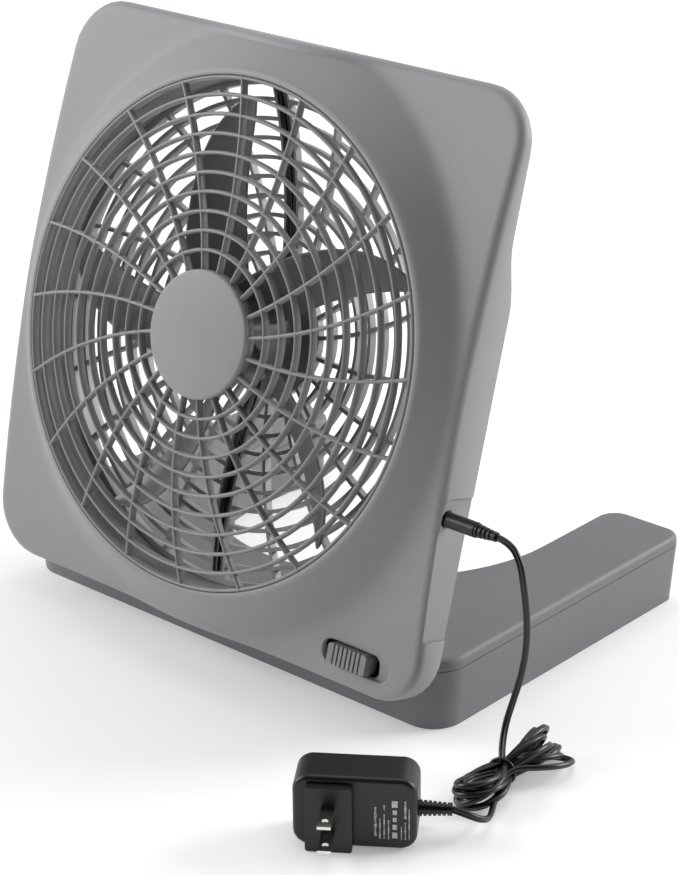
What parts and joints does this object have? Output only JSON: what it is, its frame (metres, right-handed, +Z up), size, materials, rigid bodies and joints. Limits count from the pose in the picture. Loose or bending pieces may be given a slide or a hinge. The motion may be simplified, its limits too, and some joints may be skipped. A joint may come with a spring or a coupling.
{
  "type": "box fan",
  "caption": "Portable square table fan: tilting box head with round ribbed grille on a U-shaped battery base, with a plug-in mains adapter on a tied lead.",
  "frame": {"origin": "bottom centre of the fan, without its lead and adapter, on the surface that it stands on", "axes": "+X to the fan's right as seen from the front, +Y towards the back, away from the air outlet, +Z up"},
  "size_m": [0.3757, 0.3377, 0.3173],
  "materials": {
    "housing": "fine-textured grey ABS",
    "base": "fine-textured dark grey ABS",
    "grille": "smooth grey ABS",
    "blade": "smoky grey, slightly glossy",
    "knob": "ribbed grey",
    "black_plastic": "black, fine texture",
    "cord": "black PVC",
    "nickel": "nickel-plated brass",
    "steel": "steel",
    "copper": "enamelled copper",
    "board": "circuit board",
    "ferrite": "ferrite",
    "cell_jacket": "printed film, plain",
    "ceramic": "ceramic",
    "nylon": "natural nylon"
  },
  "bodies": {
    "base": {"base_tray": "base", "base_lid": "base", "base_screws": "steel", "hinge_pin_left": "steel", "hinge_pin_right": "steel", "battery_cells_left": "cell_jacket", "battery_cells_right": "cell_jacket", "battery_contacts": "nickel", "battery_springs": "nickel", "friction_washers": "nylon", "base_wires": "black_plastic", "adapter_front_shell": "black_plastic", "adapter_rear_shell": "black_plastic", "adapter_plug_block": "black_plastic", "adapter_prongs": "nickel", "adapter_relief": "cord", "adapter_board": "board", "adapter_transformer": "ferrite", "lead_drop": "cord", "lead_tail": "cord", "lead_hank": "cord"},
    "head": {"front_housing": "housing", "rear_housing": "housing", "housing_screws": "steel", "front_grille": "grille", "hub_cap": "housing", "rear_grille": "grille", "motor_can": "steel", "motor_end_cap": "black_plastic", "motor_bushes": "copper", "motor_magnets": "ferrite", "motor_brushes": "ferrite", "switch_body": "black_plastic", "speed_resistor": "ceramic", "jack_body": "black_plastic", "dc_plug": "black_plastic", "plug_relief": "black_plastic", "motor_wires": "black_plastic"},
    "rotor": {"impeller": "blade", "motor_shaft": "steel", "armature": "copper"},
    "knob": {"switch_knob": "knob"},
    "door_left": {"battery_door_left": "base"},
    "door_right": {"battery_door_right": "base"}
  },
  "joints": [
    {"name": "head_tilt", "type": "hinge", "parent": "base", "child": "head", "pos_m": [0, -0.0813, 0.03191], "axis": [1, 0, 0], "range_deg": [-73.5, 16.5]},
    {"name": "fan_spin", "type": "hinge", "parent": "head", "child": "rotor", "pos_m": [0, -0.06354, 0.1711], "axis": [0, -0.9588, 0.284], "continuous": true},
    {"name": "switch_slide", "type": "slide", "parent": "head", "child": "knob", "axis": [1, 0, 0], "range_m": [-0.0046, 0.0046]},
    {"name": "door_left_slide", "type": "slide", "parent": "base", "child": "door_left", "axis": [0, 1, 0], "range_m": [0, 0.2]},
    {"name": "door_right_slide", "type": "slide", "parent": "base", "child": "door_right", "axis": [0, 1, 0], "range_m": [0, 0.2]}
  ]
}
